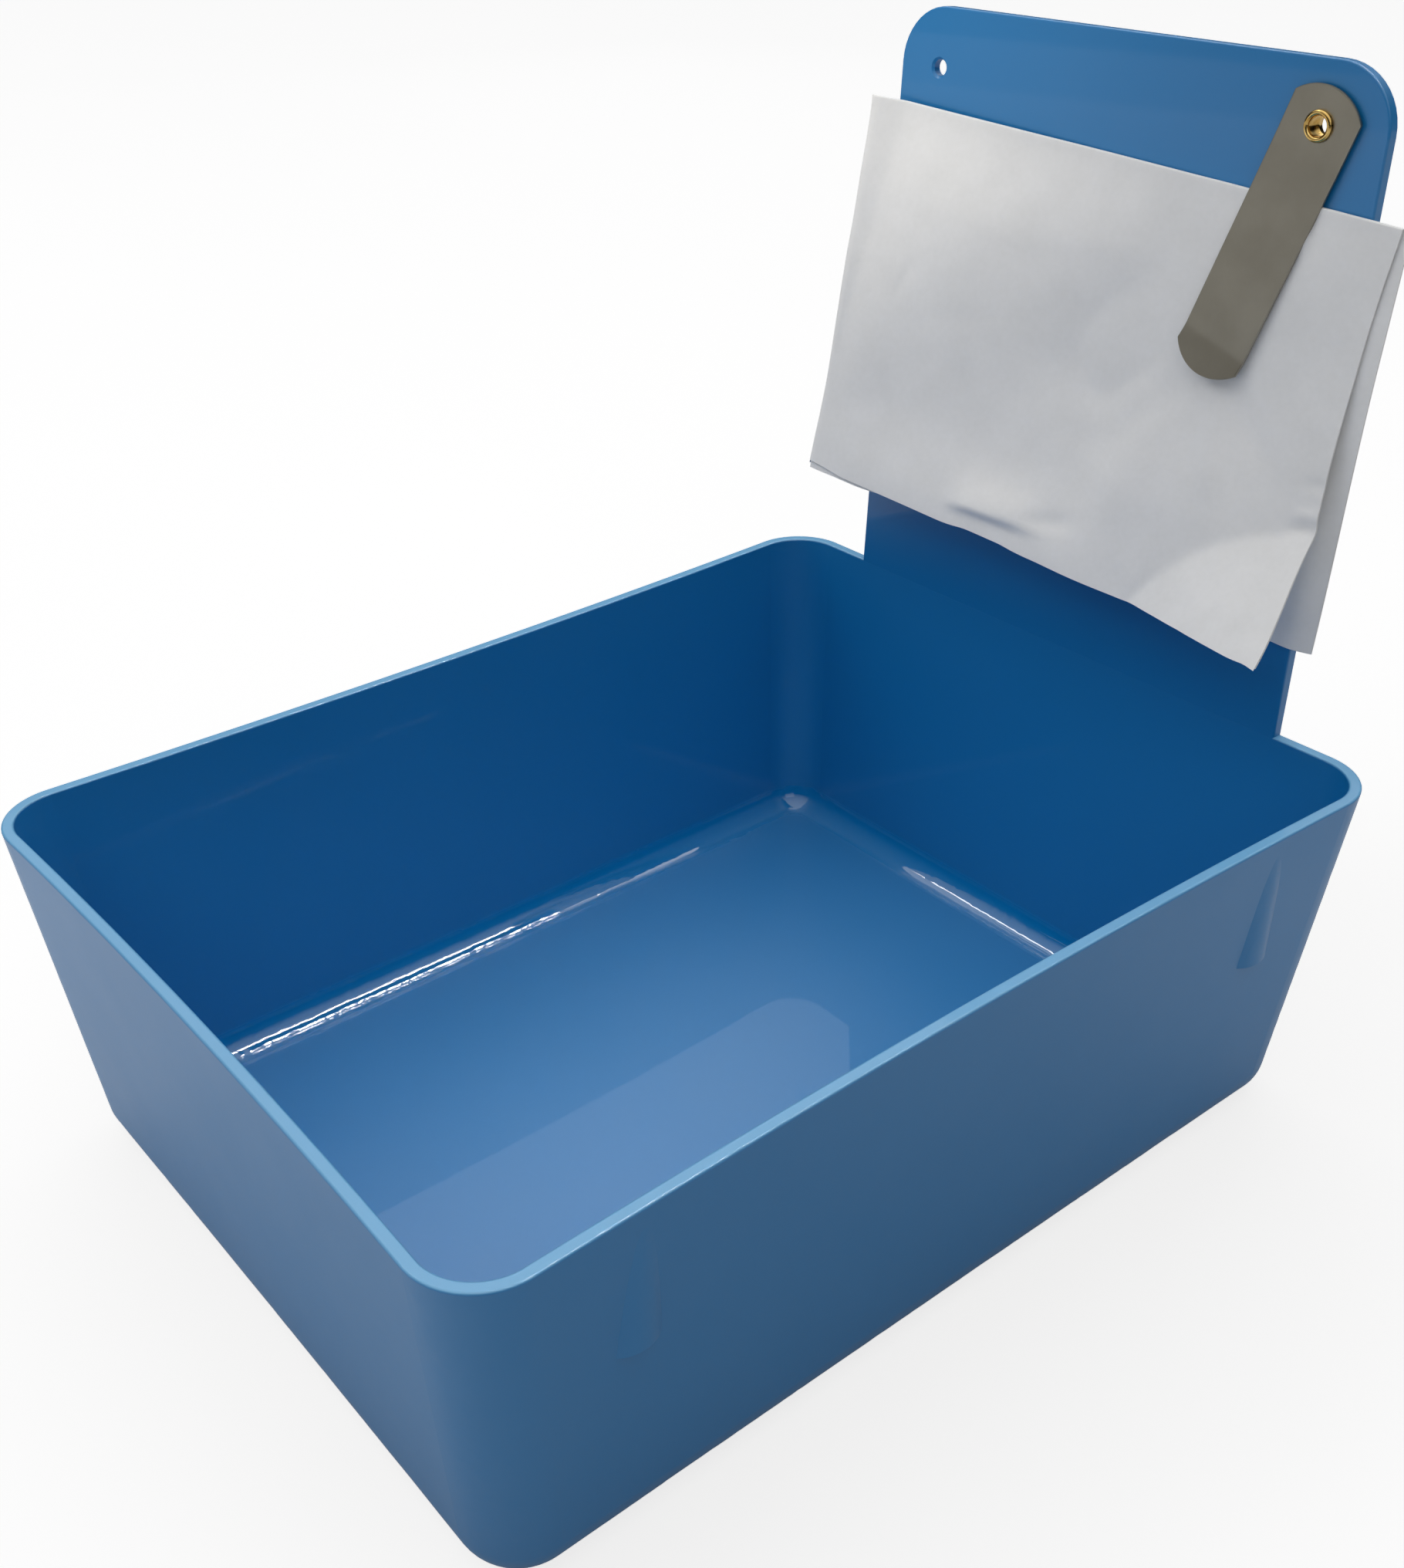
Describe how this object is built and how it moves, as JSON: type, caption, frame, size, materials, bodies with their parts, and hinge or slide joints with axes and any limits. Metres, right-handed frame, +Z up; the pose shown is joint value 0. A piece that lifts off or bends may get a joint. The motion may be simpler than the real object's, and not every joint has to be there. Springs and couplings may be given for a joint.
{
  "type": "laboratory work pan",
  "caption": "Open drafted work pan with a raised rear tab, a swivelling spring clip on a brass eyelet, a peg hole, and a folded order slip under the clip.",
  "frame": {"origin": "centre of the pan's underside", "axes": "+Z up, +Y to the rear wall that carries the tab, +X to the clip's side"},
  "size_m": [0.1398, 0.1848, 0.1688],
  "materials": {
    "pan_plastic": "glossy injection-moulded blue plastic",
    "eyelet_brass": "bright brass",
    "clip_steel": "satin rolled spring steel",
    "slip_paper": "white paper, folded"
  },
  "bodies": {
    "pan": {"work_pan": "pan_plastic", "eyelet": "eyelet_brass"},
    "clip": {"clip_head": "clip_steel"},
    "blade": {"clip_blade": "clip_steel"},
    "slip": {"order_slip": "slip_paper"}
  },
  "joints": [
    {"name": "clip_swivel", "type": "hinge", "parent": "pan", "child": "clip", "pos_m": [0.0383, 0.09272, 0.15923], "axis": [0, -0.998, 0.0628], "continuous": true},
    {"name": "clip_lift", "type": "hinge", "parent": "clip", "child": "blade", "pos_m": [0.03707, 0.09198, 0.15546], "axis": [-0.9516, 0.0193, 0.3068], "range_deg": [0, 15], "stiffness_Nm_per_rad": 0.2, "springref_deg": -5.73},
    {"name": "slip_slide", "type": "slide", "parent": "pan", "child": "slip", "axis": [-1, 0, 0], "range_m": [0, 0.115]}
  ]
}
